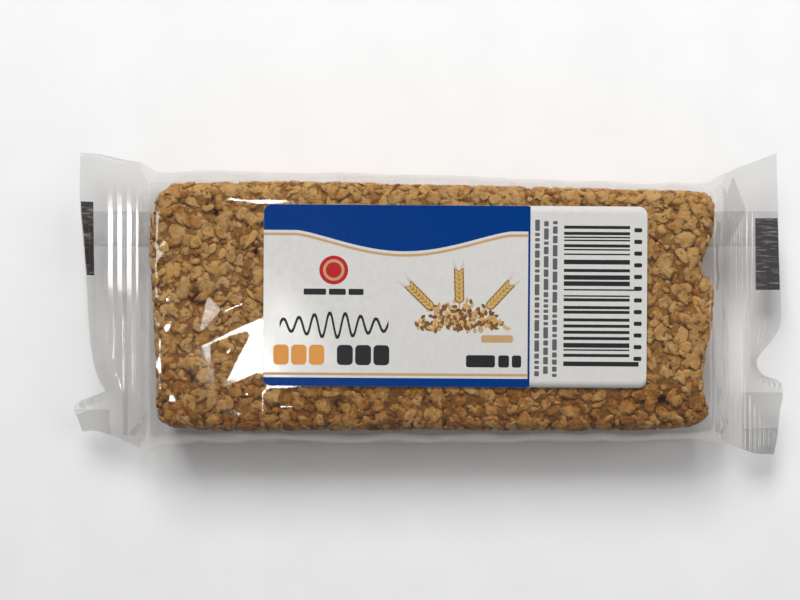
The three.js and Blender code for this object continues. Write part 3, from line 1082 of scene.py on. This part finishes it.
# A ringed disc, and a row of small bars below it
DISC_AT = (-26, 5.4)
for ink, radius, layer in (("red_ink", 3.1, 1), ("gold_ink", 2.3, 2), ("red_ink", 1.7, 3)):
    sides = [middle + way * radius for middle in DISC_AT for way in (-1, 1)]
    print_block(ink, *sides, radius, layer)
for left, right in ((-32.4, -27.6), (-27.0, -23.4), (-22.8, -19.6)):
    print_block("dark_ink", left, right, 0.1, 1.4, 0.25)

# A waved line, and heavy blocks below it
WAVE_SPAN = (-37.5, -14.2)
WAVE_MIDDLE = -6.4
WAVE_PITCH = 3.3
wave_x = np.linspace(*WAVE_SPAN, 120)
turns = math.tau * (wave_x - WAVE_SPAN[0])
swing = 1 - 0.35 * np.cos(turns / (WAVE_SPAN[1] - WAVE_SPAN[0]))
wave_y = WAVE_MIDDLE + 1.9 * np.sin(turns / WAVE_PITCH) * swing
stroke = 0.32 * np.hypot(1, np.gradient(wave_y, wave_x)) ** 0.8
print_band("dark_ink", wave_x, wave_y - stroke, wave_y + stroke)
for left in (-38.8, -35.0, -31.2):
    print_block("orange_ink", left, left + 3.3, -14.9, -10.6, 0.9)
for left in (-25.2, -21.3, -17.4):
    print_block("dark_ink", left, left + 3.4, -14.9, -10.6, 0.9)

# Three ears of grain standing in a heap of flakes
HEAP_X = 1.2
HEAP_FLAKES = 230
for lean in (-0.75, 0.03, 0.8):
    stalk = np.array([-math.sin(lean), math.cos(lean)])
    up = math.atan2(stalk[1], stalk[0])
    stem_foot = np.array([HEAP_X - 4.5 * math.sin(lean), -5.4])
    print_leaf("gold_ink", *stem_foot, up, 11.5, 0.35)
    for k in range(7):
        x, y = stem_foot + stalk * (9.6 - 0.95 * k)
        for side in (-1, 1):
            turn = up + side * 0.5
            print_leaf("brown_ink", x, y, turn, 2.1, 1.05, layer=2 + k)
            inner = (x + 0.1 * stalk[0], y + 0.1 * stalk[1])
            print_leaf("straw_ink", *inner, turn, 1.75, 0.7, layer=3 + k)
            print_leaf("gold_ink", x, y, up + side * 0.3, 4.4, 0.14)
for k in range(HEAP_FLAKES):
    turn, reach = print_draw.uniform(0, math.pi), print_draw.uniform(0, 1) ** 0.6
    x = HEAP_X + 9.6 * reach * math.cos(turn)
    y = -6.9 + 5.6 * reach * math.sin(turn) ** 1.3
    ink = ("brown_ink", "straw_ink", "brown_ink", "gold_ink")[k % 4]
    layer = 3 + (k * 7) // HEAP_FLAKES
    print_leaf(ink, x, y, print_draw.uniform(0, math.tau), 1.3, 0.75, layer)

# Small bars at the field's lower right
print_block("gold_ink", 5.6, 12.4, -9.9, -8.3, 0.5)
for left, right in ((2.4, 8.6), (9.3, 11.6), (12.2, 14.2)):
    print_block("dark_ink", left, right, -15.2, -12.6, 0.5)

# The right panel's small bars, its stripes, and a row of plain marks beside them
BAR_LENGTHS = [0.7, 1.1, 1.6, 2.4]
STRIPE_MODULE = 0.33
STRIPE_WIDTHS = [1, 1, 2, 2, 3]  # in modules, for the stripes and for the gaps between them
LONG_STRIPES = (0, 12, 24)
for column in (17.5, 19.4, 21.3):
    at = -17.4 + print_draw.uniform(0, 1.5)
    while at < 16:
        length = print_draw.choice(BAR_LENGTHS)
        print_block("grey_ink", column - 0.5, column + 0.5, at, at + length, 0.2)
        at += length + 0.42
at, number = -14.8, 0
while at < 16.5 - 4 * STRIPE_MODULE:
    wide = STRIPE_MODULE * print_draw.choice(STRIPE_WIDTHS)
    reach = 39.3 if number in LONG_STRIPES else 37.3
    print_block("dark_ink", 23.2, reach, at, at + wide, 0.02)
    at += wide + STRIPE_MODULE * print_draw.choice(STRIPE_WIDTHS)
    number += 1
for k in range(12):
    low = -13.6 + 2.5 * k
    print_block("dark_ink", 38.2, 39.9, low, low + 0.9, 0.3)

for ink, colour in INKS.items():
    points, faces, count = [], [], 0
    for some_points, some_faces in printed[ink]:
        points.append(some_points)
        faces += [[i + count for i in face] for face in some_faces]
        count += len(some_points)
    piece = make_piece("print_" + ink, np.concatenate(points), faces, smooth=False)
    piece.data.materials.append(make_print_material(ink, colour, rough=0.3, gloss=0.12))

# The floor, the lights and the camera.
# A pale table top under soft studio light, seen from straight above as in the photograph. Big
# soft boxes light the pack, and small ones are only mirrored in the film.
FLOOR_SIZE = 3000
FLOOR_STOPS = [(0.3, (0.84, 0.84, 0.84)), (0.7, (0.87, 0.87, 0.87))]
CAMERA_AT = (-6.6, 0.9, 302.2)
LENS = 60


def make_floor_material(name):
    """A matt pale table top, faintly clouded."""
    material, add = new_material(name)
    pale = colour_ramp(add, speckle(add, add("TexCoord").outputs["Object"], 60.0), FLOOR_STOPS)
    skin = add("BsdfPrincipled", Base_Color=pale, Roughness=0.8)
    add("OutputMaterial", Surface=skin.outputs[0])
    return material


floor_corners = np.array([[-1, -1, 0], [1, -1, 0], [1, 1, 0], [-1, 1, 0]]) * FLOOR_SIZE / 2
floor_mesh = bpy.data.meshes.new("floor")
floor_mesh.from_pydata((floor_corners * MM).tolist(), [], [(0, 1, 2, 3)])
floor_mesh.materials.append(make_floor_material("pale_table"))
floor = bpy.data.objects.new("floor", floor_mesh)
bpy.context.scene.collection.objects.link(floor)


def soft_light(name, at, size, watts, mirrored):
    """A soft box at a place in millimetres, aimed at the pack. The film mirrors it or doesn't."""
    lamp = bpy.data.lights.new(name, "AREA")
    lamp.shape = "RECTANGLE"
    lamp.size, lamp.size_y = size[0] * MM, size[1] * MM
    lamp.energy = watts
    light = bpy.data.objects.new(name, lamp)
    light.location = Vector(at) * MM
    light.rotation_euler = (-light.location).to_track_quat("-Z", "Y").to_euler()
    light.visible_glossy = mirrored
    light.visible_diffuse = not mirrored
    bpy.context.scene.collection.objects.link(light)


soft_light("key_soft_box", (-110, 560, 560), (400, 380), 6.2, mirrored=False)
soft_light("fill_soft_box", (520, 120, 560), (500, 500), 1.8, mirrored=False)
soft_light("overhead_soft_box", (-103, -36, 620), (56, 42), 0.16, mirrored=True)
soft_light("left_soft_box", (-262, 37, 610), (60, 71), 0.085, mirrored=True)
soft_light("side_soft_box", (-500, 700, 420), (500, 160), 0.35, mirrored=True)
soft_light("right_soft_box", (560, -60, 430), (120, 260), 0.17, mirrored=True)

world = bpy.data.worlds.new("studio")
world.use_nodes = True
sky = world.node_tree.nodes["Background"]
sky.inputs["Color"].default_value = (1, 1, 1, 1)
sky.inputs["Strength"].default_value = 0.2
bpy.context.scene.world = world
bpy.context.scene.view_settings.view_transform = "Standard"
bpy.context.scene.cycles.transparent_max_bounces = 24

view = bpy.data.cameras.new("camera")
view.lens = LENS
view.clip_start = 0.01
camera = bpy.data.objects.new("camera", view)
camera.location = Vector(CAMERA_AT) * MM
bpy.context.scene.collection.objects.link(camera)
bpy.context.scene.camera = camera
